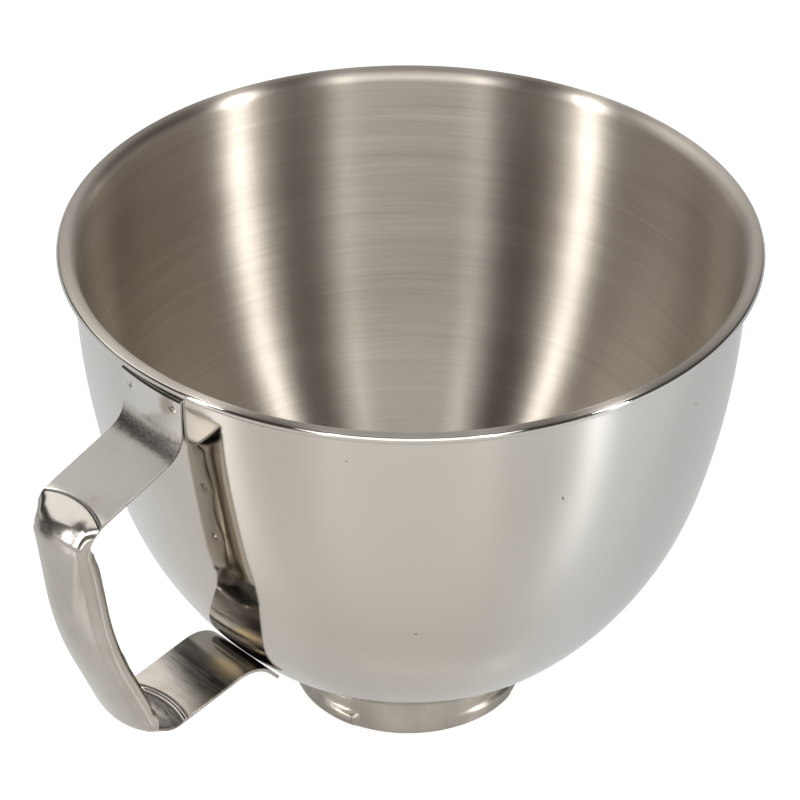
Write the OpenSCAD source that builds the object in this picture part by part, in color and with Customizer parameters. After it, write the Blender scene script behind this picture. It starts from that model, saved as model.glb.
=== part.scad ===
// Stand mixer bowl: a deep drawn steel bowl on a pressed bayonet base ring, with a strap
// handle whose middle is rolled into a hand grip.
// The bowl's axis is Z, the base ring stands on z = 0 and the handle points along -X.

/* [Bowl] */
// Diameter over the bead of the rim
rim_d = 225; // [190:1:260]
// Height from the bottom of the base ring to the top of the rim
bowl_h = 172; // [145:1:200]
// How far the bead stands out from the wall under it
lip_out = 5.1; // [4.4:0.1:6]
// Thickness of the bowl's sheet
sheet_t = 0.8; // [0.6:0.1:1.2]
// Diameter of the curled bead
bead_d = 2.6; // [2:0.1:3.2]
// Radius that turns the wall outward into the lip
lip_r = 3; // [2:0.1:3.4]
// Height of the straight wall under the lip
straight_h = 3; // [1:0.5:10]
// Turn of the long upper curve of the side, in degrees
side_turn = 15; // [12:0.5:18]
// Turn at which the flank runs into the heel, in degrees
flank_turn = 58.5; // [52:0.5:66]
// Radius of the heel between the flank and the flat bottom
heel_r = 55; // [40:1:70]
// Radius of the flat bottom
floor_r = 12; // [4:1:20]
// Height of the bowl's bottom above what the base ring stands on
floor_z = 7; // [5:0.5:10]

/* [Base ring] */
// Outer diameter of the base ring at its bottom edge
base_d = 78; // [66:1:90]
// Outer diameter of the base ring where its skirt meets the bowl
base_top_d = 72; // [60:1:76]
// Thickness of the base ring's sheet
base_t = 1; // [0.8:0.1:1.5]
// Width of the flange that lies against the underside of the bowl
base_flange = 9; // [6:0.5:14]
// Number of bayonet lugs
lug_count = 4; // [3:1:5]
// Angle that one lug covers
lug_angle = 43; // [30:1:50]
// How far a lug stands out at its high end
lug_rise = 2; // [1:0.1:3]
// Height of a lug
lug_h = 3.6; // [2.5:0.1:5]

/* [Handle strap] */
// Width of the strap
strap_w = 27.4; // [22:0.2:32]
// Thickness of the strap
strap_t = 1.1; // [0.9:0.1:1.4]
// Distance from the top of the rim down to the top edge of the upper tab
tab_drop = 7.6; // [6:0.2:12]
// Distance from the top edge of the upper tab down to the line of its bend
tab_h = 18.9; // [14:0.1:24]
// How far the shoulder of the handle stands out from the wall
shoulder_out = 41.6; // [38:0.1:52]
// How far the upper arm falls between the wall and the shoulder
arm_fall = 15.4; // [10:0.2:20]
// How far the middle of the grip stands out from the wall
grip_out = 35.3; // [32:0.1:44]
// Height of the middle of the grip above the heel of the handle
grip_mid = 42.5; // [34:0.5:50]
// How far the heel of the handle stands out from the wall at the rim
heel_out = 17.4; // [14:0.2:24]
// How far the lower arm rises from the heel to its crest
heel_rise = 8.9; // [5:0.1:12]
// Angle round the flank at which the lower tab touches the bowl
foot_angle = 40.5; // [36:0.5:46]
// Length of the lower tab past the point where it touches
foot_past = 2; // [1:0.5:5]
// Distance from the point where the lower tab touches back to its bend
foot_run = 10.8; // [9:0.1:14]
// Clearance between the tabs and the bowl
seat_gap = 0.1; // [0.05:0.05:0.3]

/* [Handle bends] */
// Radius of the bend under the upper tab
tab_bend_r = 8.6; // [6:0.1:11]
// Radius of the shoulder bend
shoulder_r = 8; // [6:0.1:10]
// Radius of the bow of the grip
grip_bow_r = 126; // [90:1:180]
// Radius of the heel bend
heel_bend_r = 9.8; // [7:0.1:11]
// Radius of the crest where the lower arm turns down the bowl
crest_r = 14; // [8:0.5:15]

/* [Grip] */
// Width of the rolled grip at its top
grip_w_top = 25.4; // [22:0.2:28]
// Width of the rolled grip at its bottom
grip_w_low = 28.4; // [24:0.1:31]
// Radius of the crowned outer face of the grip
crown_r = 30; // [22:1:45]
// Radius of the rolled sides of the grip
roll_r = 3.9; // [3.2:0.1:5]
// Radius of the inner face, where the two edges lap
back_r = 40; // [30:1:60]
// Clearance between the lapped edges
lap_gap = 0.15; // [0.1:0.05:0.4]
// How far the upper edge runs past the middle of the lap
lap_over = 2.5; // [1:0.5:5]
// How far the lower edge runs past the middle of the lap
lap_under = 5; // [2:0.5:7]
// Depth of the waves along the upper edge of the lap
lap_wave = 1.1; // [0:0.1:2]
// Number of waves along the lap, one for each weld
lap_waves = 4; // [1:1:6]
// Length over which the edges of the flat strap curl down into the section of the grip
curl_len = 11; // [8:0.5:16]
// Distance from where that curl starts to where the flanges start to widen
flange_lag = 9; // [5:0.5:12]
// Length over which the flanges widen until their edges lap
flange_len = 14; // [10:0.5:20]
// Length to either side of a bend over which the sections of the grip turn
lean_span = 14.4; // [10:0.2:18]

/* [Hidden] */
round_fn = 120;

// The side of the bowl: three arcs that are tangent to each other, to the straight wall
// above and to the flat bottom below. Their centres and radii follow from the sizes above.
rim_r = rim_d / 2;
wall_r = rim_r - lip_out;
lip_z = bowl_h - sheet_t - lip_r;
side_z = lip_z - straight_h;
arc_width = wall_r - floor_r - heel_r * cos(flank_turn);
arc_height = side_z - floor_z - heel_r * (1 - sin(flank_turn));
side_dx = 1 - cos(side_turn);
side_dz = sin(side_turn);
flank_dx = cos(side_turn) - cos(flank_turn);
flank_dz = sin(flank_turn) - sin(side_turn);
arc_det = side_dx * flank_dz - flank_dx * side_dz;
side_r = (arc_width * flank_dz - flank_dx * arc_height) / arc_det;
flank_r = (side_dx * arc_height - arc_width * side_dz) / arc_det;
side_c = [wall_r - side_r, side_z];
flank_c = side_c + (side_r - flank_r) * [cos(side_turn), -sin(side_turn)];
heel_c = [floor_r, floor_z + heel_r];

// A point on the outside of the flank, and the way down along the wall there.
function flank_point(a, off) = flank_c + (flank_r + off) * [cos(a), -sin(a)];
function flank_down(a) = [-sin(a), -cos(a)];

// The middle line of the handle's strap, as corners in the plane of the handle.
// Each corner is [distance from the axis, height].
seat_off = seat_gap + strap_t / 2;
tab_x = wall_r + seat_off;
tab_z = bowl_h - tab_drop;
foot_seat = flank_point(foot_angle, seat_off);
crest = foot_seat - foot_run * flank_down(foot_angle);
heel_z = crest[1] - heel_rise;
corners = [
    [tab_x, tab_z],
    [tab_x, tab_z - tab_h],
    [wall_r + shoulder_out, tab_z - tab_h - arm_fall],
    [wall_r + grip_out, heel_z + grip_mid],
    [wall_r + heel_out, heel_z],
    crest,
    foot_seat + foot_past * flank_down(foot_angle)
];
bend_r = [0, tab_bend_r, shoulder_r, grip_bow_r, heel_bend_r, crest_r, 0];

// Headings are angles in that plane. Each bend is an arc between two straight runs.
last_corner = len(corners) - 1;
function run(i) = corners[i + 1] - corners[i];
function heading(i) = let (d = run(i), a = atan2(d[1], d[0])) a > 90 ? a - 360 : a;
function turn(i) = heading(i) - heading(i - 1);
function trim(i) = i == 0 || i == last_corner ? 0 : bend_r[i] * tan(abs(turn(i)) / 2);
function arc_len(i) = trim(i) == 0 ? 0 : bend_r[i] * abs(turn(i)) * PI / 180;
function along(a) = [cos(a), sin(a)];
function straight_len(i) = norm(run(i)) - trim(i) - trim(i + 1);

// Length of the strap up to the start of each bend.
function bend_start(i) =
    i == 0 ? 0 : bend_start(i - 1) + arc_len(i - 1) + straight_len(i - 1);
bend_at = [for (i = [0 : last_corner]) bend_start(i)];

// A station is [length along the strap, point, heading].
run_step = 6;
turn_step = 11;
bow_step = 4;
function straight_stations(i) =
    let (
        from = corners[i] + trim(i) * along(heading(i)),
        start = bend_at[i] + arc_len(i),
        n = max(1, ceil(straight_len(i) / run_step))
    )
    [for (k = [0 : n - 1])
        let (d = straight_len(i) * k / n) [start + d, from + d * along(heading(i)), heading(i)]];
function bend_stations(i) =
    let (
        way = sign(turn(i)),
        from = corners[i] - trim(i) * along(heading(i - 1)),
        centre = from + bend_r[i] * along(heading(i - 1) + way * 90),
        n = ceil(max(abs(turn(i)) / turn_step, arc_len(i) / bow_step))
    )
    [for (k = [0 : n - 1])
        let (a = heading(i - 1) + turn(i) * k / n)
        [bend_at[i] + arc_len(i) * k / n, centre - bend_r[i] * along(a + way * 90), a]];
last_station = [bend_at[last_corner], corners[last_corner], heading(last_corner - 1)];
stations = [
    for (i = [0 : last_corner - 1]) each concat(
        i == 0 ? [] : bend_stations(i), straight_stations(i)
    ),
    last_station
];

// Inside the bends the rolled grip leans from one heading to the next over a longer stretch
// than the outer face does, so that its back doesn't fold over itself.
heading_at = [for (s = stations) [s[0], s[2]]];
lean_taps = 4;
function mean(list) = list * [for (v = list) 1] / len(list);
function lean(s) =
    mean([for (k = [-lean_taps : lean_taps]) lookup(s + lean_span * k / lean_taps, heading_at)]);

// How far the strap is curled, and how far its flanges have widened: 0 on the flat arms and
// 1 on the grip.
function ease(t) = let (u = min(1, max(0, t))) u * u * (3 - 2 * u);
roll_top = bend_at[2] - 5;
roll_low = bend_at[4] + arc_len(4) + 5;
function rolled(s) = ease((s - roll_top) / curl_len) * ease((roll_low - s) / curl_len);
function lapped(s) = ease((s - roll_top - flange_lag) / flange_len)
    * ease((roll_low - flange_lag - s) / flange_len);
function grip_share(s) = min(1, max(0, (s - roll_top) / (roll_low - roll_top)));
function grip_w(s) = grip_w_top + (grip_w_low - grip_w_top) * grip_share(s);

// Half of the rolled section, from the middle of the outer face to the edge, as three arcs
// in a list of [length, curvature]. side_roll is the radius of its rolled side.
function to_deg(x) = x * 180 / PI;
function half_section(w, side_roll, past) =
    let (
        x = w / 2 - side_roll,
        crown = asin(x / (crown_r - side_roll)),
        back = asin(x / (back_r - side_roll))
    )
    [
        [crown_r * crown * PI / 180, 1 / crown_r],
        [side_roll * (180 - crown - back) * PI / 180, 1 / side_roll],
        [back_r * back * PI / 180 + past, 1 / back_r]
    ];

// Where a chain of arcs has come to after length l, as [x, y, heading]. The heading turns
// towards -y. share scales the rolled curvature and base adds the curve of the bowl's wall.
function chain(arcs, l, share, base, i = 0, from = [0, 0, 0]) =
    let (
        d = i == len(arcs) - 1 ? l : min(l, arcs[i][0]),
        k = arcs[i][1] * share + base,
        h = from[2],
        g = h + to_deg(k * d),
        to = abs(k) < 0.0001
            ? [from[0] + d * cos(h), from[1] - d * sin(h), g]
            : [from[0] + (sin(g) - sin(h)) / k, from[1] + (cos(g) - cos(h)) / k, g]
    )
    l - d < 0.0001 ? to : chain(arcs, l - d, share, base, i + 1, to);

// Marks along a half section that ends at length reach: a few on the crown, more on the
// roll and a few on the back. Where the edge comes before the end of the roll, the marks of
// the roll and the back close up.
crown_marks = 3;
roll_marks = 7;
back_marks = 4;
half_marks = crown_marks + roll_marks + back_marks;
function mark(arcs, reach, j) =
    let (
        roll_end = min(arcs[0][0] + arcs[1][0], arcs[0][0] + (reach - arcs[0][0]) * 0.7)
    )
    j <= crown_marks ? arcs[0][0] * j / crown_marks
    : j <= crown_marks + roll_marks
        ? arcs[0][0] + (roll_end - arcs[0][0]) * (j - crown_marks) / roll_marks
    : roll_end + (reach - roll_end) * (j - crown_marks - roll_marks) / back_marks;

// The curve that the upper tab takes from the wall, which fades out along the bend below it.
function wall_curve(s) = (1 - ease((s - bend_at[1]) / arc_len(1))) / (wall_r + seat_off);

// One station's outline: the outer face from one edge to the other, then the inner face back.
function section(st) =
    let (
        s = st[0],
        share = rolled(s),
        base = wall_curve(s),
        wave = lap_wave * cos(360 * lap_waves * grip_share(s)) * lapped(s),
        w = grip_w(s) - strap_t,
        under = half_section(w, roll_r - strap_t / 2, lap_under),
        over = half_section(w, roll_r + strap_t / 2 + lap_gap / 2, lap_over + wave),
        full = [under[0][0] + under[1][0] + under[2][0], over[0][0] + over[1][0] + over[2][0]],
        reach = [for (f = full) strap_w / 2 + (f - strap_w / 2) * lapped(s)],
        tilt = st[2] + (lean(s) - st[2]) * share,
        out = [-sin(tilt), cos(tilt)],
        marks = [
            for (j = [half_marks : -1 : 1]) [1, mark(over, reach[1], j)],
            for (j = [0 : half_marks]) [0, mark(under, reach[0], j)]
        ],
        line = [
            for (m = marks)
                let (p = chain(m[0] == 1 ? over : under, m[1], share, base), side = 1 - 2 * m[0])
                [side * p[0], p[1], side * sin(p[2]), cos(p[2])]
        ]
    )
    [for (f = [1, -1], p = f == 1 ? line : [for (i = [len(line) - 1 : -1 : 0]) line[i]])
        let (q = st[1] + (p[1] + f * strap_t / 2 * p[3]) * out)
        [-q[0], -p[0] - f * strap_t / 2 * p[2], q[1]]];

// A polyhedron through the outlines of all stations, with its two cut ends closed.
module loft(rings) {
    n = len(rings[0]);
    last = len(rings) - 1;
    sides = [for (i = [0 : last - 1], j = [0 : n - 1])
        let (a = i * n + j, b = i * n + (j + 1) % n)
        each [[a, b, b + n], [a, b + n, a + n]]];
    end_a = [for (j = [0 : n / 2 - 2]) each [[j, n - 1 - j, n - 2 - j], [j, n - 2 - j, j + 1]]];
    end_b = [for (f = end_a) [for (k = [2, 1, 0]) f[k] + last * n]];
    polyhedron([for (r = rings) each r], concat(sides, end_a, end_b), convexity = 8);
}

// A wedge of a disc about c, between two angles below the horizontal.
module sector(c, r, from, to) {
    far = r * 2;
    translate(c) intersection() {
        circle(r, $fn = round_fn * 2);
        polygon([[0, 0], far * [cos(from), -sin(from)], far * [cos(to), -sin(to)]]);
    }
}

// Half of the filled form of the bowl below the lip, with its outside moved in by off.
// Each tighter arc starts a little early, inside the wider one above it.
overlap = 6;
module bowl_form(off) {
    intersection() {
        union() {
            sector(side_c, side_r - off, 0, side_turn);
            sector(flank_c, flank_r - off, side_turn - overlap, flank_turn);
            sector(heel_c, heel_r - off, flank_turn - overlap, 90);
            translate([0, floor_z + off]) square([floor_r, side_z - floor_z - off]);
            translate([0, side_z]) square([wall_r - off, straight_h]);
        }
        square([wall_r, bowl_h]);
    }
}

// Half of the bowl's section: the drawn sheet, the lip turned outward and the curled bead.
lip_c = [wall_r + lip_r, lip_z];
bead_r = bead_d / 2;
bead_x = rim_r - bead_r;
module bowl_section() {
    difference() {
        bowl_form(0);
        bowl_form(sheet_t);
    }
    intersection() {
        translate(lip_c) difference() {
            circle(lip_r + sheet_t, $fn = round_fn);
            circle(lip_r, $fn = round_fn);
        }
        translate(lip_c - [lip_r + sheet_t, 0]) square(lip_r + sheet_t);
    }
    translate([lip_c[0], bowl_h - sheet_t]) square([bead_x - lip_c[0], sheet_t]);
    translate([bead_x, bowl_h - bead_r]) circle(bead_r, $fn = 32);
}

module bowl() {
    color([0.80, 0.80, 0.78]) rotate_extrude($fn = round_fn) bowl_section();
}

// Half of the base ring's section: a flared skirt, bent in at its top to a flange that
// follows the underside of the bowl.
base_r = base_d / 2;
skirt_r = base_top_d / 2;
function under_z(r, off) = heel_c[1] - sqrt(pow(heel_r + off, 2) - pow(r - floor_r, 2));
flange_mid = seat_gap + base_t / 2;
module base_section() {
    intersection() {
        difference() {
            translate(heel_c) circle(heel_r + seat_gap + base_t, $fn = round_fn * 2);
            translate(heel_c) circle(heel_r + seat_gap, $fn = round_fn * 2);
        }
        translate([skirt_r - base_flange, 0]) square([base_flange, heel_c[1]]);
    }
    polygon([
        [base_r - base_t, 0], [base_r, 0],
        [skirt_r, under_z(skirt_r, flange_mid)],
        [skirt_r - base_t, under_z(skirt_r - base_t, flange_mid)]
    ]);
}

// The footprint of one bayonet lug: a circle set off centre, so that it leaves the base ring
// flush at one end of the lug and stands out by lug_rise at the other.
lug_lead = 40;
lug_off = lug_rise / (cos(lug_lead) - cos(lug_lead + lug_angle));
lug_r = base_r - lug_off * cos(lug_lead + lug_angle);
module lug_plan(inset) {
    from = -lug_angle / 2 + inset * 180 / PI / base_r;
    to = lug_angle / 2 - inset * 180 / PI / base_r;
    peak = lug_angle / 2 + lug_lead;
    intersection() {
        translate(lug_off * [cos(peak), sin(peak)]) circle(lug_r - inset, $fn = round_fn * 2);
        polygon([[0, 0], base_d * [cos(from), sin(from)], base_d * [1, 0], base_d * [cos(to), sin(to)]]);
    }
}

module lugs(inset, h) {
    for (i = [0 : lug_count - 1]) rotate(180 + 360 * i / lug_count)
        translate([0, 0, -inset]) linear_extrude(h) difference() {
            lug_plan(inset);
            circle(base_r - base_t - inset, $fn = round_fn * 2);
        }
}

module base_ring() {
    color([0.74, 0.72, 0.68]) difference() {
        union() {
            rotate_extrude($fn = round_fn) base_section();
            lugs(0, lug_h);
        }
        lugs(base_t, lug_h);
    }
}

module handle() {
    color([0.71, 0.69, 0.66]) loft([for (s = stations) section(s)]);
}

bowl();
base_ring();
handle();
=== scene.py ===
import math

import bpy
import numpy as np
from mathutils import Matrix, Quaternion, Vector


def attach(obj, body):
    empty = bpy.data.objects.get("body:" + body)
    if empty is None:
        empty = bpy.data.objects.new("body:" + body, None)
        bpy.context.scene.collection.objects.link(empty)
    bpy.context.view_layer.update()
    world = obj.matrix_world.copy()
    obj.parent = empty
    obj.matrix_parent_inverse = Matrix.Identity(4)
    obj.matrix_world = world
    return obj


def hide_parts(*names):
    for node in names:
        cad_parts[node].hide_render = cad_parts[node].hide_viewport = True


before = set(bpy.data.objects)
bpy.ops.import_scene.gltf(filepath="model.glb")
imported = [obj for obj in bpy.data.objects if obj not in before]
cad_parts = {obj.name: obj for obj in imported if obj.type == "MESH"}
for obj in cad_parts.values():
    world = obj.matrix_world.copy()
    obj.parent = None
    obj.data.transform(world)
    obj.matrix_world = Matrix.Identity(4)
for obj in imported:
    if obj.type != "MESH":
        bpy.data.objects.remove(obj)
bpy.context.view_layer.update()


# The camera stands at the photograph's place: about 1.25 m from the bowl, 34 degrees above
# the table, with the handle to the left and towards the viewer.
camera_at = Vector((-0.6748, -0.7161, 0.7801))
camera_turn, camera_pitch, camera_roll = -43.118, 34.296, 0.348

turn, pitch, roll = (math.radians(a) for a in (camera_turn, camera_pitch, camera_roll))
ahead = Vector((-math.sin(turn) * math.cos(pitch), math.cos(turn) * math.cos(pitch), -math.sin(pitch)))
level = ahead.cross(Vector((0, 0, 1))).normalized()
above = level.cross(ahead)
across = math.cos(roll) * level + math.sin(roll) * above
upward = -math.sin(roll) * level + math.cos(roll) * above
camera_axes = Matrix((across, upward, -ahead)).transposed()

camera = bpy.data.objects.new("camera", bpy.data.cameras.new("camera"))
camera.matrix_world = Matrix.Translation(camera_at) @ camera_axes.to_4x4()
camera.data.sensor_width = 36
camera.data.lens = 163.6
camera.data.clip_start, camera.data.clip_end = 0.05, 60
bpy.context.scene.collection.objects.link(camera)
bpy.context.scene.camera = camera


# The bowl is deep drawn from one disc of stainless steel sheet, its rim turned outward and
# curled to a bead. It is mirror polished outside and brushed round and round inside, which
# draws every light in it out into an upright band.
rim_r = 0.1125
bowl_h = 0.172
wall_r = 0.1074
sheet_t = 0.0008
bead_r = 0.0013
lip_r = 0.003
straight_h = 0.003
side_turn, flank_turn = math.radians(15), math.radians(58.5)
heel_r = 0.055
floor_r = 0.012
floor_z = 0.007
bowl_steps = 288


class Wire:
    """A socket in a node tree. Arithmetic on it adds Math nodes, node() adds any other."""

    def __init__(self, tree, socket=None):
        self.tree = tree
        self.socket = socket

    def node(self, kind, settings=None, sockets=None, out=0):
        made = self.tree.nodes.new(kind)
        for name, value in (settings or {}).items():
            if name == "stops":
                ramp = made.color_ramp
                for k, (place, colour) in enumerate(value):
                    stop = ramp.elements[k] if k < 2 else ramp.elements.new(place)
                    stop.position = place
                    stop.color = (*colour, 1)
            else:
                setattr(made, name, value)
        for name, value in (sockets or {}).items():
            if isinstance(value, Wire):
                self.tree.links.new(value.socket, made.inputs[name])
            else:
                made.inputs[name].default_value = value
        return Wire(self.tree, made.outputs[out])

    def math(self, operation, *values):
        return self.node("ShaderNodeMath", {"operation": operation}, dict(enumerate(values)))

    def __add__(self, other): return self.math("ADD", self, other)
    def __radd__(self, other): return self.math("ADD", other, self)
    def __sub__(self, other): return self.math("SUBTRACT", self, other)
    def __rsub__(self, other): return self.math("SUBTRACT", other, self)
    def __mul__(self, other): return self.math("MULTIPLY", self, other)
    def __rmul__(self, other): return self.math("MULTIPLY", other, self)
    def __truediv__(self, other): return self.math("DIVIDE", self, other)
    def __pow__(self, other): return self.math("POWER", self, other)
    def __abs__(self): return self.math("ABSOLUTE", self)

    def step(self, low, high):
        """0 up to low and 1 past high, with a soft change between them."""
        return self.node(
            "ShaderNodeMapRange", {"interpolation_type": "SMOOTHSTEP"},
            {"Value": self, "From Min": low, "From Max": high},
        )

    def xyz(self):
        return [self.node("ShaderNodeSeparateXYZ", None, {0: self}, out=k) for k in range(3)]

    def vector(self, x, y, z):
        return self.node("ShaderNodeCombineXYZ", None, {0: x, 1: y, 2: z})

    def noise(self, at, scale, detail=2.0, rough=0.5):
        return self.node(
            "ShaderNodeTexNoise", None,
            {"Vector": at, "Scale": scale, "Detail": detail, "Roughness": rough},
        )

    def blend(self, first, second):
        """A colour from first to second, as this value goes from 0 to 1."""
        return self.node(
            "ShaderNodeMix", {"data_type": "RGBA"}, {0: self, 6: first, 7: second}, out=2
        )


def steel(name, roughness, turn=None, stretch=0.0):
    """A material with one metal shader, and a Wire to build on."""
    made = bpy.data.materials.new(name)
    made.use_nodes = True
    shader = made.node_tree.nodes["Principled BSDF"]
    shader.inputs["Metallic"].default_value = 1.0
    shader.inputs["Roughness"].default_value = roughness
    shader.inputs["Anisotropic"].default_value = stretch
    shader.inputs["Anisotropic Rotation"].default_value = turn or 0.0
    return made, shader, Wire(made.node_tree)


def feed(wire, shader, name):
    wire.tree.links.new(wire.socket, shader.inputs[name])


def bump(start, height, strength, distance):
    return start.node(
        "ShaderNodeBump", None, {"Height": height, "Strength": strength, "Distance": distance}
    )


def arc(centre, radius, first, last, count):
    """Points of an arc in the plane of a section, angles in radians."""
    angles = np.linspace(first, last, count)
    return [(centre[0] + radius * math.cos(a), centre[1] + radius * math.sin(a)) for a in angles]


# The side is three arcs, tangent to each other: two radii follow from the height and width.
side_z = bowl_h - sheet_t - lip_r - straight_h
across_arcs = wall_r - floor_r - heel_r * math.cos(flank_turn)
down_arcs = side_z - floor_z - heel_r * (1 - math.sin(flank_turn))
side_r, flank_r = np.linalg.solve(
    [
        [1 - math.cos(side_turn), math.cos(side_turn) - math.cos(flank_turn)],
        [math.sin(side_turn), math.sin(flank_turn) - math.sin(side_turn)],
    ],
    [across_arcs, down_arcs],
)
side_c = (wall_r - side_r, side_z)
flank_c = (
    side_c[0] + (side_r - flank_r) * math.cos(side_turn),
    side_c[1] - (side_r - flank_r) * math.sin(side_turn),
)
heel_c = (floor_r, floor_z + heel_r)
lip_c = (wall_r + lip_r, bowl_h - sheet_t - lip_r)
bead_c = (rim_r - bead_r, bowl_h - bead_r)


def side_profile(inset):
    """One face of the sheet, from the axis out and up to the lip."""
    return (
        [(0, floor_z + inset), (floor_r * 0.5, floor_z + inset)]
        + arc(heel_c, heel_r - inset, -math.pi / 2, -flank_turn, 24)
        + arc(flank_c, flank_r - inset, -flank_turn, -side_turn, 44)[1:]
        + arc(side_c, side_r - inset, -side_turn, 0, 26)[1:]
    )


bead_entry = math.radians(168)
bead_exit = math.radians(90)
outside = (
    side_profile(0)
    + arc(lip_c, lip_r, math.pi, math.radians(112), 10)
    + arc(bead_c, bead_r, bead_entry, 2 * math.pi + bead_exit, 30)
)
inside = arc(lip_c, lip_r + sheet_t, math.radians(88), math.pi, 12) + side_profile(sheet_t)[::-1]
bowl_line = outside + inside


def section_object(name, line):
    """An edge chain in the XZ plane, for a spun piece to take its section from."""
    mesh = bpy.data.meshes.new(name)
    mesh.from_pydata(
        [(r, 0, z) for r, z in line], [(k, k + 1) for k in range(len(line) - 1)], []
    )
    made = bpy.data.objects.new(name, mesh)
    bpy.context.scene.collection.objects.link(made)
    return made


def growing_tree(name, inputs):
    """An empty Geometry Nodes tree with named inputs, and Wires to those inputs."""
    tree = bpy.data.node_groups.new(name, "GeometryNodeTree")
    tree.interface.new_socket("Geometry", in_out="INPUT", socket_type="NodeSocketGeometry")
    for label, kind, value in inputs:
        made = tree.interface.new_socket(label, in_out="INPUT", socket_type="NodeSocket" + kind)
        if value is not None:
            made.default_value = value
    tree.interface.new_socket("Geometry", in_out="OUTPUT", socket_type="NodeSocketGeometry")
    entry = tree.nodes.new("NodeGroupInput")
    wires = {s.name: Wire(tree, s) for s in entry.outputs if s.name}
    return tree, wires


def close_tree(tree, geometry):
    leave = tree.nodes.new("NodeGroupOutput")
    tree.links.new(geometry.socket, leave.inputs[0])


def grown(name, base, tree, values):
    """Runs a tree on an object and leaves its result as a plain mesh object."""
    modifier = base.modifiers.new(tree.name, "NODES")
    modifier.node_group = tree
    for item in tree.interface.items_tree:
        if item.item_type == "SOCKET" and item.in_out == "INPUT" and item.name in values:
            modifier[item.identifier] = values[item.name]
    graph = bpy.context.evaluated_depsgraph_get()
    mesh = bpy.data.meshes.new_from_object(
        base.evaluated_get(graph), preserve_all_data_layers=True, depsgraph=graph
    )
    base.modifiers.remove(modifier)
    mesh.name = name
    used = [m for m in mesh.materials if m]
    kept = [used.index(m) if m else 0 for m in mesh.materials]
    slots = [kept[p.material_index] for p in mesh.polygons]
    mesh.materials.clear()
    for finish in used:
        mesh.materials.append(finish)
    mesh.polygons.foreach_set("material_index", slots)
    made = bpy.data.objects.new(name, mesh)
    bpy.context.scene.collection.objects.link(made)
    bpy.data.objects.remove(base)
    return made


def spin_nodes(tree, wires, line_count):
    """Spins the section about Z: a grid whose rows are the section, turned step by step."""
    steps = wires["Steps round"]
    start = Wire(tree)
    grid = start.node(
        "GeometryNodeMeshGrid", None,
        {"Vertices X": start.node("ShaderNodeMath", None, {0: steps, 1: 1}), "Vertices Y": line_count},
    )
    index = start.node("GeometryNodeInputIndex")
    row = index.math("MODULO", index, line_count)
    column = index.math("FLOOR", (index + 0.5) / line_count)
    place = start.node(
        "GeometryNodeSampleIndex", {"data_type": "FLOAT_VECTOR", "domain": "POINT"},
        {"Geometry": wires["Geometry"], "Value": start.node("GeometryNodeInputPosition"), "Index": row},
    )
    turned = start.node(
        "ShaderNodeVectorRotate", {"rotation_type": "Z_AXIS"},
        {"Vector": place, "Angle": column * (2 * math.pi) / steps},
    )
    shape = start.node("GeometryNodeSetPosition", None, {"Geometry": grid, "Position": turned})
    rows = start.node(
        "GeometryNodeStoreNamedAttribute", {"data_type": "FLOAT", "domain": "POINT"},
        {"Geometry": shape, "Name": "row", "Value": row},
    )
    return start.node("GeometryNodeMergeByDistance", None, {"Geometry": rows, "Distance": 1e-6})


# Outside: a mirror polish over steel that is never quite flat, with a haze of fine wiping scratches and a few dark
# specks,
# and painted shade: the side turned towards the camera is painted darker and warmer, the sides lighter and cooler.
polish, shader, start = steel("mirror_polished_steel", 0.07)
here = start.node("ShaderNodeTexCoord", out="Object")
soft = start.noise(here, 14, 2)
fine = start.noise(here, 900, 3, 0.7)
specks = start.noise(here, 230, 1).step(0.815, 0.83)
for place, size in (((0.0225, -0.1046, 0.1498), 0.0005), ((-0.0643, -0.0720, 0.0873), 0.0006)):
    far = start.node("ShaderNodeVectorMath", {"operation": "DISTANCE"}, {0: here, 1: place}, out=1)
    specks = start.math("MAXIMUM", specks, 1 - far.step(size * 0.5, size))
x, y, z = here.xyz()
# Painted shade: the side turned towards the camera is painted darker and warmer, the sides lighter and cooler.
painted_front_shade = (y * -0.569 - x * 0.822) / (x * x + y * y + 0.0001) ** 0.5 + 0.25 * soft
tone = painted_front_shade.step(0.72, 1.08).blend((0.62, 0.618, 0.60, 1), (0.505, 0.468, 0.418, 1))
feed(specks.blend(tone, (0.20, 0.18, 0.16, 1)), shader, "Base Color")
feed(0.055 + 0.05 * fine.step(0.35, 0.8) + 0.2 * specks, shader, "Roughness")
feed(bump(start, soft * 0.9 + fine * 0.012, 0.25, 0.0006), shader, "Normal")

# Inside: brush lines that run round the bowl, on the side and on the floor alike.
brushed, shader, start = steel("brushed_steel", 0.45, turn=0.25, stretch=1.0)
here = start.node("ShaderNodeTexCoord", out="Object")
x, y, z = here.xyz()
radius = (x * x + y * y) ** 0.5
bearing = x.math("ARCTAN2", y, x)
lines = start.noise(start.vector(radius * 1.0, z * 1.0, bearing * 0.0009), 1900, 4, 0.85)
wide = start.noise(start.vector(radius, z, bearing * 0.004), 300, 2, 0.6)
cloud = start.noise(here, 22, 2)
grain = lines * 0.6 + wide * 0.4
far = start.node("ShaderNodeVectorMath", {"operation": "DISTANCE"}, {0: here, 1: (0.0599, 0.0866, 0.1301)}, out=1)
speck = 1 - far.step(0.0003, 0.0007)
tone = grain.step(0.25, 0.8).blend((0.46, 0.415, 0.362, 1), (0.62, 0.572, 0.51, 1))
feed((speck * 0.7).blend(tone, (0.12, 0.10, 0.08, 1)), shader, "Base Color")
feed(0.24 + 0.22 * grain + 0.04 * cloud, shader, "Roughness")
feed(bump(start, wide * 0.4 + lines * 0.12, 0.6, 0.00016), shader, "Normal")

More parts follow.
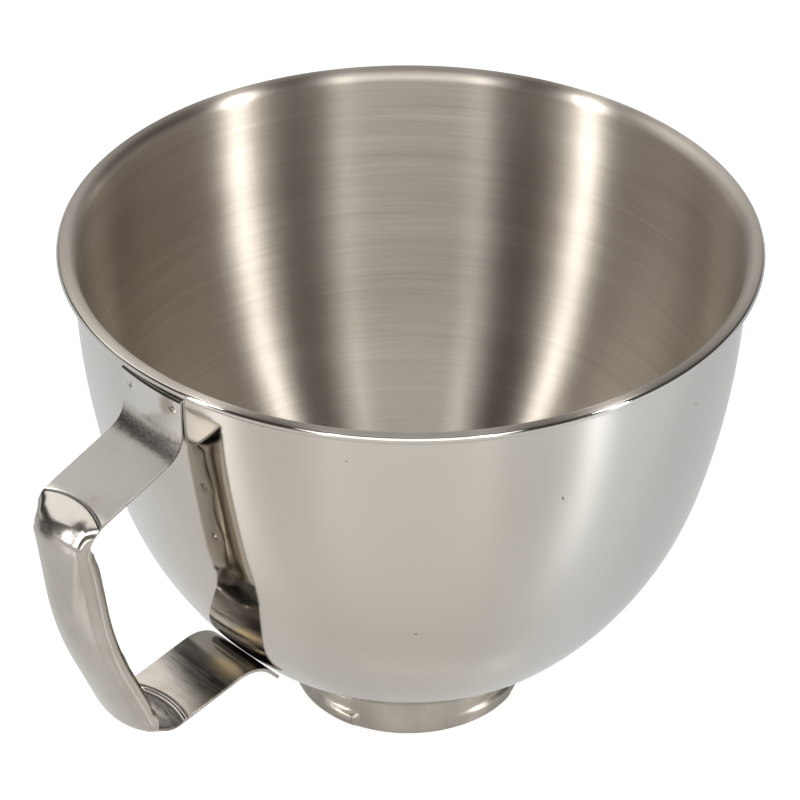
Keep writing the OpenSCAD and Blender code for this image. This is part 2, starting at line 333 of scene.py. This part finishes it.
tree, wires = growing_tree("spun_bowl", [
    ("Steps round", "Int", 64), ("Inside from row", "Float", 0.0),
    ("Outside finish", "Material", None), ("Inside finish", "Material", None),
])
shell = spin_nodes(tree, wires, len(bowl_line))
start = Wire(tree)
row = start.node("GeometryNodeInputNamedAttribute", {"data_type": "FLOAT"}, {"Name": "row"})
smooth = start.node("GeometryNodeSetShadeSmooth", None, {"Geometry": shell, "Shade Smooth": True})
whole = start.node("GeometryNodeRealizeInstances", None, {"Geometry": smooth})
coated = start.node(
    "GeometryNodeSetMaterial", None, {"Geometry": whole, "Material": wires["Outside finish"]}
)
inner = start.node(
    "GeometryNodeSetMaterial", None,
    {
        "Geometry": coated,
        "Selection": start.node(
            "FunctionNodeCompare", {"data_type": "FLOAT", "operation": "GREATER_THAN"},
            {0: row, 1: wires["Inside from row"]},
        ),
        "Material": wires["Inside finish"],
    },
)
close_tree(tree, inner)
bowl = grown("bowl_shell", section_object("bowl_line", bowl_line), tree, {
    "Steps round": bowl_steps, "Inside from row": len(outside) - 4.5,
    "Outside finish": polish, "Inside finish": brushed,
})


def faces_outward(piece):
    """Turns a closed mesh's faces so that they point out of the metal."""
    import bmesh
    work = bmesh.new()
    work.from_mesh(piece.data)
    bmesh.ops.recalc_face_normals(work, faces=work.faces)
    work.to_mesh(piece.data)
    work.free()
    print(piece.name, len(piece.data.polygons), "faces,", [m.name for m in piece.data.materials])


faces_outward(bowl)
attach(bowl, "root")
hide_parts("bowl")


# The base ring is pressed from 1 mm sheet and spot welded under the bowl: a skirt that
# flares to the table, a flange bent in along the bowl, and four bayonet lugs pressed out of
# the skirt's foot, each rising to one end so that the ring locks when the bowl is turned.
base_r = 0.039
skirt_r = 0.036
base_t = 0.001
base_flange = 0.009
seat_gap = 0.0001
lug_count = 4
lug_angle = math.radians(43)
lug_lead = math.radians(40)
lug_rise = 0.002
lug_h = 0.0036
ring_steps = 480


def under_bowl(r, off):
    """Height of a surface that lies off below the heel of the bowl, at distance r."""
    return heel_c[1] - math.sqrt((heel_r + off) ** 2 - (r - floor_r) ** 2)


foot_round = 0.0003
flange_rs = np.linspace(skirt_r - base_t * 1.2, skirt_r - base_flange, 9)
skirt_top = under_bowl(skirt_r, seat_gap + base_t)
skirt_zs = np.concatenate([np.linspace(foot_round, 0.0048, 16), np.linspace(0.0056, skirt_top, 9)])
lean = (base_r - skirt_r) / skirt_top
outer_skirt = [(base_r - lean * z, z) for z in skirt_zs]
ring_line = (
    [(base_r - base_t + foot_round, 0), (base_r - foot_round, 0)]
    + outer_skirt
    + [(skirt_r - 0.0002, under_bowl(skirt_r, seat_gap + 0.0004)), (skirt_r - 0.0006, under_bowl(skirt_r, seat_gap))]
    + [(r, under_bowl(r, seat_gap)) for r in flange_rs]
    + [(r, under_bowl(r, seat_gap + base_t)) for r in flange_rs[::-1]]
    + [(r - base_t, z) for r, z in outer_skirt[::-1] if z < under_bowl(r - base_t, seat_gap + base_t) - 0.0002]
    + [(base_r - base_t + foot_round, 0)]
)

pressed, shader, start = steel("pressed_steel", 0.3)
here = start.node("ShaderNodeTexCoord", out="Object")
x, y, z = here.xyz()
drawn = start.noise(start.vector(x * 1.0, y * 1.0, z * 0.15), 500, 3, 0.6)
stain = start.noise(here, 60, 3, 0.6)
feed(
    (stain.step(0.35, 0.75)).blend((0.41, 0.378, 0.332, 1), (0.33, 0.30, 0.26, 1)), shader, "Base Color"
)
feed(0.24 + 0.16 * drawn, shader, "Roughness")
feed(bump(start, drawn, 0.3, 0.0002), shader, "Normal")

tree, wires = growing_tree("spun_ring", [
    ("Steps round", "Int", 64), ("Lugs", "Int", 4), ("Lug angle", "Float", 0.0),
    ("Lug lead", "Float", 0.0), ("Lug rise", "Float", 0.0), ("Lug height", "Float", 0.0),
    ("Finish", "Material", None),
])
shell = spin_nodes(tree, wires, len(ring_line))
start = Wire(tree)
x, y, z = start.node("GeometryNodeInputPosition").xyz()
bearing = x.math("ARCTAN2", y, x)
share = wires["Lugs"].math("DIVIDE", 2 * math.pi, wires["Lugs"])
local = bearing.math("WRAP", bearing + math.pi, share * 0.5, share * -0.5)
reach = wires["Lug angle"] * 0.5
lug_off = wires["Lug rise"] / (
    start.math("COSINE", wires["Lug lead"]) - start.math("COSINE", wires["Lug lead"] + wires["Lug angle"])
)
rise = lug_off * (
    start.math("COSINE", local - reach - wires["Lug lead"])
    - start.math("COSINE", wires["Lug lead"] + wires["Lug angle"])
)
within = local.step(reach * -1.0, reach * -0.7) * (1 - (local - reach).step(-0.05, 0.01))
low = z.step(-0.0012, 0.0026) * (1 - z.step(wires["Lug height"] - 0.0004, wires["Lug height"] + 0.0016))
flat = start.math("SQRT", x * x + y * y)
outer = flat.step(base_r - 0.0035, base_r - 0.0030)
push = rise * within * low * outer / flat
lugged = start.node(
    "GeometryNodeSetPosition", None, {"Geometry": shell, "Offset": start.vector(x * push, y * push, 0.0)}
)
smooth = start.node("GeometryNodeSetShadeSmooth", None, {"Geometry": lugged, "Shade Smooth": True})
whole = start.node("GeometryNodeRealizeInstances", None, {"Geometry": smooth})
close_tree(tree, start.node(
    "GeometryNodeSetMaterial", None, {"Geometry": whole, "Material": wires["Finish"]}
))
ring = grown("base_ring_pressing", section_object("ring_line", ring_line), tree, {
    "Steps round": ring_steps, "Lugs": lug_count, "Lug angle": lug_angle, "Lug lead": lug_lead,
    "Lug rise": lug_rise * 0.7, "Lug height": lug_h, "Finish": pressed,
})
faces_outward(ring)
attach(ring, "root")
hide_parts("base_ring")


# The handle is one strap of 1.1 mm steel. Its middle was cut wider, and the two flanges are
# rolled in behind the grip until their edges lap, held by four spot welds. Its flat ends are
# bent to tabs: the upper one curves with the wall, the lower one sits on the flank.
strap_w = 0.0274
strap_t = 0.0011
tab_drop, tab_h = 0.0076, 0.0189
shoulder_out, arm_fall = 0.0416, 0.0154
grip_out, grip_mid = 0.0353, 0.0425
heel_out, heel_rise = 0.0174, 0.0089
foot_angle = math.radians(40.5)
foot_past, foot_run = 0.002, 0.0108
strap_bends = [0, 0.0086, 0.008, 0.126, 0.0098, 0.014, 0]
grip_w_top, grip_w_low = 0.0254, 0.0284
crown_r, roll_r, back_r = 0.030, 0.0039, 0.040
lap_gap, lap_over, lap_under = 0.00015, 0.0025, 0.005
lap_wave, lap_waves = 0.0011, 4
curl_len = 0.011
flange_lag, flange_len = 0.009, 0.014
edge_round = 0.00022
weld_first = 0.125
weld_in, weld_r, weld_deep = 0.0052, 0.0015, 0.0014

seat_off = seat_gap + strap_t / 2
foot_seat = np.array([
    flank_c[0] + (flank_r + seat_off) * math.cos(foot_angle),
    flank_c[1] - (flank_r + seat_off) * math.sin(foot_angle),
])
foot_down = np.array([-math.sin(foot_angle), -math.cos(foot_angle)])
crest = foot_seat - foot_run * foot_down
heel_z = crest[1] - heel_rise
tab_z = bowl_h - tab_drop
corners = [
    np.array(c)
    for c in (
        (wall_r + seat_off, tab_z),
        (wall_r + seat_off, tab_z - tab_h),
        (wall_r + shoulder_out, tab_z - tab_h - arm_fall),
        (wall_r + grip_out, heel_z + grip_mid),
        (wall_r + heel_out, heel_z),
        crest,
        foot_seat + foot_past * foot_down,
    )
]
runs = [b - a for a, b in zip(corners, corners[1:])]
headings = [math.atan2(r[1], r[0]) for r in runs]
headings = [h - 2 * math.pi if h > math.pi / 2 else h for h in headings]
turns = [0] + [b - a for a, b in zip(headings, headings[1:])] + [0]
trims = [r * math.tan(abs(t) / 2) for r, t in zip(strap_bends, turns)]
bend_lens = [r * abs(t) for r, t in zip(strap_bends, turns)]
straights = [np.linalg.norm(runs[i]) - trims[i] - trims[i + 1] for i in range(len(runs))]

# The strap's middle line, as stations of length, place and heading.
bend_at = [0.0]
stations = []
for i in range(len(runs)):
    if i:
        way = math.copysign(1, turns[i])
        entry = corners[i] - trims[i] * np.array([math.cos(headings[i - 1]), math.sin(headings[i - 1])])
        side = headings[i - 1] + way * math.pi / 2
        centre = entry + strap_bends[i] * np.array([math.cos(side), math.sin(side)])
        count = math.ceil(bend_lens[i] / 0.0008)
        for k in range(count):
            h = headings[i - 1] + turns[i] * k / count
            spoke = h + way * math.pi / 2
            place = centre - strap_bends[i] * np.array([math.cos(spoke), math.sin(spoke)])
            stations.append((bend_at[i] + bend_lens[i] * k / count, place, h))
    entry = corners[i] + trims[i] * np.array([math.cos(headings[i]), math.sin(headings[i])])
    begin = bend_at[i] + bend_lens[i]
    count = math.ceil(straights[i] / 0.0008)
    for k in range(count):
        d = straights[i] * k / count
        stations.append((begin + d, entry + d * np.array([math.cos(headings[i]), math.sin(headings[i])]), headings[i]))
    bend_at.append(begin + straights[i])
stations.append((bend_at[-1], corners[-1], headings[-1]))
lengths = np.array([s[0] for s in stations])
places = np.array([s[1] for s in stations])
angles = np.array([s[2] for s in stations])


def ease(t):
    u = np.clip(t, 0, 1)
    return u * u * (3 - 2 * u)


# How far the strap is rolled at each station, and how its sections lean in the bends.
lean_span = 0.0144
leans = np.mean(
    [np.interp(lengths + lean_span * k / 4, lengths, angles) for k in range(-4, 5)], axis=0
)
roll_top = bend_at[2] - 0.005
roll_low = bend_at[4] + bend_lens[4] + 0.005
rolled = ease((lengths - roll_top) / curl_len) * ease((roll_low - lengths) / curl_len)
lapped = ease((lengths - roll_top - flange_lag) / flange_len) * ease(
    (roll_low - flange_lag - lengths) / flange_len
)
grip_share = np.clip((lengths - roll_top) / (roll_low - roll_top), 0, 1)
grip_ws = grip_w_top + (grip_w_low - grip_w_top) * grip_share
wall_curve = (1 - ease((lengths - bend_at[1]) / bend_lens[1])) / (wall_r + seat_off)
waves = lap_wave * np.cos(2 * math.pi * lap_waves * (grip_share - weld_first)) * lapped
weld_at = roll_top + (roll_low - roll_top) * (weld_first + np.arange(lap_waves) / lap_waves)


def half_section(width, side_roll, past):
    """Half of the rolled section, from the middle of its face to its edge, as three arcs."""
    x = width / 2 - side_roll
    crown = math.asin(x / (crown_r - side_roll))
    back = math.asin(x / (back_r - side_roll))
    return [
        (crown_r * crown, 1 / crown_r),
        (side_roll * (math.pi - crown - back), 1 / side_roll),
        (back_r * back + past, 1 / back_r),
    ]


def chain(arcs, length, share, base):
    """Where the arcs have come to after a length: across, in, heading."""
    x = y = h = 0.0
    for i, (arc_len, bend) in enumerate(arcs):
        d = length if i == len(arcs) - 1 else min(length, arc_len)
        k = bend * share + base
        g = h + k * d
        if abs(k) < 0.05:
            x, y = x + d * math.cos(h), y - d * math.sin(h)
        else:
            x, y = x + (math.sin(g) - math.sin(h)) / k, y + (math.cos(g) - math.cos(h)) / k
        h = g
        length -= d
        if length < 1e-7:
            break
    return x, y, h


crown_marks, roll_marks, back_marks = 14, 22, 18
half_marks = crown_marks + roll_marks + back_marks


def mark(arcs, reach, j):
    """Length from the middle to mark j, where the marks close up if the edge comes early."""
    crown_end = arcs[0][0]
    roll_end = min(crown_end + arcs[1][0], crown_end + (reach - crown_end) * 0.7)
    if j <= crown_marks:
        return crown_end * j / crown_marks
    if j <= crown_marks + roll_marks:
        return crown_end + (roll_end - crown_end) * (j - crown_marks) / roll_marks
    return roll_end + (reach - roll_end) * (j - crown_marks - roll_marks) / back_marks


def strap_section(k):
    """The outline of the strap at station k, and where each of its points lies on the strap."""
    share, base, width = rolled[k], wall_curve[k], grip_ws[k] - strap_t
    halves = [
        half_section(width, roll_r - strap_t / 2, lap_under),
        half_section(width, roll_r + strap_t / 2 + lap_gap / 2, lap_over + waves[k]),
    ]
    tilt = angles[k] + (leans[k] - angles[k]) * share
    out = np.array([-math.sin(tilt), math.cos(tilt)])
    line = []
    for q, way in ((1, -1), (0, 1)):
        arcs = halves[q]
        reach = strap_w / 2 + (sum(a[0] for a in arcs) - strap_w / 2) * lapped[k]
        order = range(half_marks, 0, -1) if q else range(half_marks + 1)
        for j in order:
            m = mark(arcs, reach, j)
            x, y, h = chain(arcs, m, share, base)
            near = np.min((lengths[k] - weld_at) ** 2) + (m - reach + weld_in) ** 2
            dent = q * share * weld_deep * math.exp(-near / weld_r ** 2)
            x, y = x - dent * math.sin(h), y - dent * math.cos(h)
            line.append((way * x, y, way * math.sin(h), math.cos(h), way * m, reach - m if q else 0.02))
    points, marks = [], []
    t, e = strap_t / 2, edge_round
    for face, row in ((1, line), (-1, line[::-1])):
        for n, (x, y, nx, ny, m, edge) in enumerate(row):
            inset = e * 0.9 if n in (0, len(row) - 1) else 0.0
            across, deep = x + face * nx * (t - inset), y + face * ny * (t - inset)
            q = places[k] + deep * out
            points.append((-q[0], -across, q[1]))
            marks.append((lengths[k], m, face, edge))
    return points, marks


rings, ring_marks = zip(*(strap_section(k) for k in range(len(stations))))
points = np.array(rings)
marks = np.array(ring_marks)
ring_n = points.shape[1]
faces = [
    (i * ring_n + j, i * ring_n + (j + 1) % ring_n, (i + 1) * ring_n + (j + 1) % ring_n, (i + 1) * ring_n + j)
    for i in range(len(points) - 1)
    for j in range(ring_n)
]
half_n = ring_n // 2
last = (len(points) - 1) * ring_n
faces += [(j, ring_n - 1 - j, ring_n - 2 - j, j + 1) for j in range(half_n - 1)]
faces += [(last + j, last + j + 1, last + ring_n - 2 - j, last + ring_n - 1 - j) for j in range(half_n - 1)]

strap_mesh = bpy.data.meshes.new("handle_strap")
strap_mesh.from_pydata(points.reshape(-1, 3).tolist(), [], faces)
for column, name in enumerate(("along", "across", "face", "edge")):
    strap_mesh.attributes.new(name, "FLOAT", "POINT").data.foreach_set(
        "value", marks[:, :, column].astype(np.float32).ravel()
    )
strap_mesh.polygons.foreach_set("use_smooth", [True] * len(strap_mesh.polygons))
handle = bpy.data.objects.new("handle_strap", strap_mesh)
bpy.context.scene.collection.objects.link(handle)

# Its finish changes along it: satin on the flat arm, coarse where the bends stretched it, with painted dark reflection
# over part of it, polished on the grip, scuffed and stained on the lower arm, and two weld pits on the tab.
strap_steel, shader, start = steel("strap_steel", 0.25)
here = start.node("ShaderNodeTexCoord", out="Object")
along = start.node("ShaderNodeAttribute", {"attribute_name": "along"}, out=2)
sideways = start.node("ShaderNodeAttribute", {"attribute_name": "across"}, out=2)
face = start.node("ShaderNodeAttribute", {"attribute_name": "face"}, out=2)
edge = start.node("ShaderNodeAttribute", {"attribute_name": "edge"}, out=2)


def spot(place, side, long, wide, inner=0.3):
    """A soft oval on the strap: 1 in its middle and 0 at its edge."""
    a, b = (along - place) / long, (sideways - side) / wide
    return 1 - ((a * a + b * b) ** 0.5).step(inner, 1.0)


def band(first, last, soft=0.002):
    """1 between two lengths along the strap."""
    return along.step(first - soft / 2, first + soft / 2) * (1 - along.step(last - soft / 2, last + soft / 2))


cloud = start.noise(here, 45, 3, 0.6)
fine = start.noise(here, 1500, 2, 0.6)
drag = start.noise(start.vector(along * 0.1, sideways, face), 2300, 3, 0.75)
grain = start.noise(start.vector(along, sideways * 0.35, face), 1500, 4, 0.85)
scuff = start.noise(start.vector(along * 0.5, sideways * 0.06, face), 700, 4, 0.8)

outer = face.step(-0.5, 0.5)
# The crease where the arm meets the dome: a groove in the bump and a painted shade line in the colour.
crease_at = along - sideways * sideways * 18.0 - 0.0479
crease_groove_and_shade = (1 - abs(crease_at).step(0.0001, 0.0009)) * outer
dart = (1 - abs(sideways + (along - 0.060) * 0.29 - 0.0122).step(0.0, 0.0038)) * band(0.052, 0.094, 0.008) * outer
# The band past the upper bend and two patches on the dome: real coarse grain in roughness and bump, and a painted dark
# reflection in the colour.
coarse_and_dark_reflection = band(0.0155, 0.0224, 0.004) + spot(0.0605, -0.0030, 0.0045, 0.0060) + spot(0.0560, 0.0075, 0.0050, 0.0030)
coarse_and_dark_reflection = start.math("MINIMUM", coarse_and_dark_reflection, 1.0) * outer
streaks = band(0.0115, 0.0160, 0.002) * outer
lower = band(0.168, 0.192, 0.006) * (1 - outer)
lower_dark = band(0.1775, 0.1865, 0.006) * (1 - outer)
# Painted shade: a dark lens inside the mouth of the rolled tube by the heel, and darker on the strap's inner face in
# the lower grip.
lip = along - sideways * 0.09 + sideways * sideways * 16.0 - 0.1668
mouth_shade = (1 - lip.step(-0.0010, 0.0004)) * lip.step(-0.0050, -0.0030) * 0.8 + band(0.120, 0.162, 0.004) * 0.6
mouth_shade = mouth_shade * (1 - outer)
lip_ridge = (1 - abs(lip - 0.0013).step(0.0, 0.0011)) * (1 - outer) * band(0.155, 0.175)
pucker = (1 - lip.step(-0.0012, 0.0)) * (1 - outer) * band(0.150, 0.175)
# The weld dips are real dents in the bump; in the colour each has a painted highlight in its middle and painted shade
# in a ring round it.
weld_dip_and_glint, weld_rim_shade = 0.0, 0.0
for place in weld_at:
    a, b = along - float(place), edge - weld_in
    far = (a * a + b * b) ** 0.5
    weld_dip_and_glint = weld_dip_and_glint + (1 - far.step(weld_r * 0.3, weld_r * 1.25)) * outer
    weld_rim_shade = weld_rim_shade + far.step(weld_r * 0.5, weld_r) * (1 - far.step(weld_r * 1.1, weld_r * 1.5)) * outer
# Painted shade: a dark line along the edge of the lapping flange on the back of the grip.
lap_edge_shade = (1 - edge.step(0.0001, 0.0006)) * abs(sideways).step(0.016, 0.018)
flat_arm = band(0.0228, 0.0485, 0.003)
back = abs(sideways).step(0.015, 0.018)
pits = spot(0.0046, -0.0091, 0.0012, 0.0012, 0.1) + spot(0.0032, -0.0085, 0.0004, 0.0004) + spot(
    0.0030, 0.0107, 0.0006, 0.0006
)
weld_rings = spot(0.0044, -0.0089, 0.0019, 0.0022, 0.6) + spot(0.0030, 0.0107, 0.0018, 0.0018, 0.5)
stains = (
    spot(0.0462, 0.0022, 0.004, 0.007) + spot(0.0035, 0.0085, 0.006, 0.005) + lower * 0.5
) * cloud.step(0.42, 0.62)
gold = spot(0.1892, 0.0068, 0.005, 0.009) * (1 - outer)

tone = cloud.step(0.35, 0.7).blend((0.445, 0.415, 0.372, 1), (0.395, 0.365, 0.324, 1))
# Painted light: the tab is painted lighter than the rest of the strap.
tone = band(-0.01, 0.0135, 0.004).blend(tone, (0.60, 0.585, 0.555, 1))
tone = (flat_arm * 0.6).blend(tone, (0.42, 0.41, 0.39, 1))
# Painted light: the back of the grip, which faces the bowl's wall, is painted lighter.
tone = back.blend(tone, (0.70, 0.65, 0.58, 1))
tone = stains.blend(tone, (0.36, 0.31, 0.25, 1))
tone = (weld_dip_and_glint - weld_rim_shade).blend(tone, (0.85, 0.82, 0.78, 1))
tone = gold.blend(tone, (0.60, 0.48, 0.30, 1))
shade = coarse_and_dark_reflection * (0.80 + 0.4 * grain.step(0.42, 0.6)) + lower_dark * (0.35 + 0.6 * scuff.step(0.42, 0.6))
shade = shade + streaks * drag.step(0.45, 0.7) * 0.5 + crease_groove_and_shade * 0.75 + mouth_shade + pits
shade = shade + weld_rim_shade * 0.75 + lap_edge_shade * 0.9
# Painted shadow: a dark line along the tab's top edge, where it meets the bowl's wall.
shade = start.math("MINIMUM", shade + (1 - along.step(0.0002, 0.0006)) * outer, 1.0) * 0.88
feed(shade.blend(tone, (0.045, 0.042, 0.038, 1)), shader, "Base Color")
feed(0.14 + 0.08 * cloud + 0.24 * flat_arm + 0.12 * coarse_and_dark_reflection + 0.10 * lower * scuff, shader, "Roughness")
relief = fine * 0.02 + cloud * 0.25 + drag * (0.03 + 0.10 * flat_arm + 0.35 * streaks)
relief = relief + grain * coarse_and_dark_reflection * 0.5 + scuff * lower * 0.3 + dart * 2.4 - crease_groove_and_shade * 3.0
relief = relief - pits * 3.0 + weld_rings * 2.0 + lip_ridge * 5.0
relief = relief - weld_dip_and_glint * 5.0 + pucker * scuff * 8.0
feed(bump(start, relief, 1.0, 0.0001), shader, "Normal")
strap_mesh.materials.append(strap_steel)
faces_outward(handle)
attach(handle, "root")
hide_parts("handle")


# The table is a plain white board, a little lit from itself where the camera or a gloss
# looks at it, so that it reads as white and still takes the bowl's shadow. Its faint sheen
# carries the right soft box into the bowl's wall as a soft upright band.
table_mesh = bpy.data.meshes.new("table")
table_mesh.from_pydata([(-6, -6, 0), (6, -6, 0), (6, 6, 0), (-6, 6, 0)], [], [(0, 1, 2, 3)])
table = bpy.data.objects.new("table", table_mesh)
bpy.context.scene.collection.objects.link(table)
board = bpy.data.materials.new("white_board")
board.use_nodes = True
board_tree = board.node_tree
board_tree.nodes.remove(board_tree.nodes["Principled BSDF"])
start = Wire(board_tree)
def ray(name):
    return start.node("ShaderNodeLightPath", out=name)


x, y, z = start.node("ShaderNodeTexCoord", out="Object").xyz()
distant = ((x * x + y * y) ** 0.5).step(0.4, 1.4)
seen = start.math("MAXIMUM", ray("Is Camera Ray"), ray("Is Transmission Ray")) * (0.6 + 0.5 * distant)
seen = start.math("MAXIMUM", seen, ray("Is Glossy Ray") * 0.21)
glow = start.node("ShaderNodeEmission", None, {"Color": (1, 1, 1, 1), "Strength": seen})
plain = start.node("ShaderNodeBsdfDiffuse", None, {"Color": (0.5, 0.5, 0.5, 1)})
sheen = start.node("ShaderNodeBsdfAnisotropic", None, {"Color": (0.085, 0.085, 0.085, 1), "Roughness": 0.33})
both = start.node("ShaderNodeAddShader", None, {0: plain, 1: glow})
both = start.node("ShaderNodeAddShader", None, {0: both, 1: sheen})
board_tree.links.new(both.socket, board_tree.nodes["Material Output"].inputs["Surface"])
table_mesh.materials.append(board)

# The studio: white paper up to just above the horizon and a dim warm room over it. A tall soft
# box on either side of the camera draws the two bright upright bands inside the bowl, a wide
# dim one above the camera lights the middle between them, and one behind lights the handle.
world = bpy.data.worlds.new("studio")
bpy.context.scene.world = world
world.use_nodes = True
start = Wire(world.node_tree)
height = start.node("ShaderNodeTexCoord", out="Generated").xyz()[2]
paper = height.node(
    "ShaderNodeValToRGB",
    {"stops": [
        (0.10, (1.0, 1.0, 1.0)), (0.2, (0.09, 0.085, 0.08)),
        (0.6, (0.065, 0.06, 0.055)), (1.0, (0.12, 0.11, 0.10)),
    ]},
    {"Fac": height},
)
world.node_tree.links.new(paper.socket, world.node_tree.nodes["Background"].inputs["Color"])
world.node_tree.nodes["Background"].inputs["Strength"].default_value = 1.0

camera_bearing = math.atan2(camera_at.x, -camera_at.y)
for name, bearing, lift, distance, width, tall, tip, radiance in (
    ("soft_box_left", -66, 31, 1.6, 0.13, 1.1, 9, 29.0),
    ("soft_box_right", 65, 31, 1.6, 0.13, 1.1, -9, 29.0),
    ("soft_box_front", 0, 36, 1.9, 1.9, 1.9, 0, 2.3),
    ("front_edge_left", -25, 33, 1.8, 0.10, 1.7, 3, 4.0),
    ("front_edge_right", 25, 33, 1.8, 0.10, 1.7, -3, 4.0),
    ("soft_box_behind", -128, 47, 1.6, 1.3, 0.66, 0, 1.7),
    ("soft_box_far", 180, 34, 1.6, 1.1, 0.6, 0, 0.9),
):
    angle, rise_angle = camera_bearing + math.radians(bearing), math.radians(lift)
    lamp = bpy.data.lights.new(name, "AREA")
    lamp.shape = "RECTANGLE"
    lamp.size, lamp.size_y = width, tall
    lamp.energy = radiance * width * tall * math.pi
    made = bpy.data.objects.new(name, lamp)
    made.location = Vector((
        distance * math.sin(angle) * math.cos(rise_angle),
        -distance * math.cos(angle) * math.cos(rise_angle),
        distance * math.sin(rise_angle),
    ))
    aim = (Vector((0, 0, 0.08)) - made.location).to_track_quat("-Z", "Y")
    made.rotation_euler = (aim @ Quaternion((0, 0, 1), math.radians(tip))).to_euler()
    bpy.context.scene.collection.objects.link(made)

bpy.context.scene.view_settings.view_transform = "Standard"
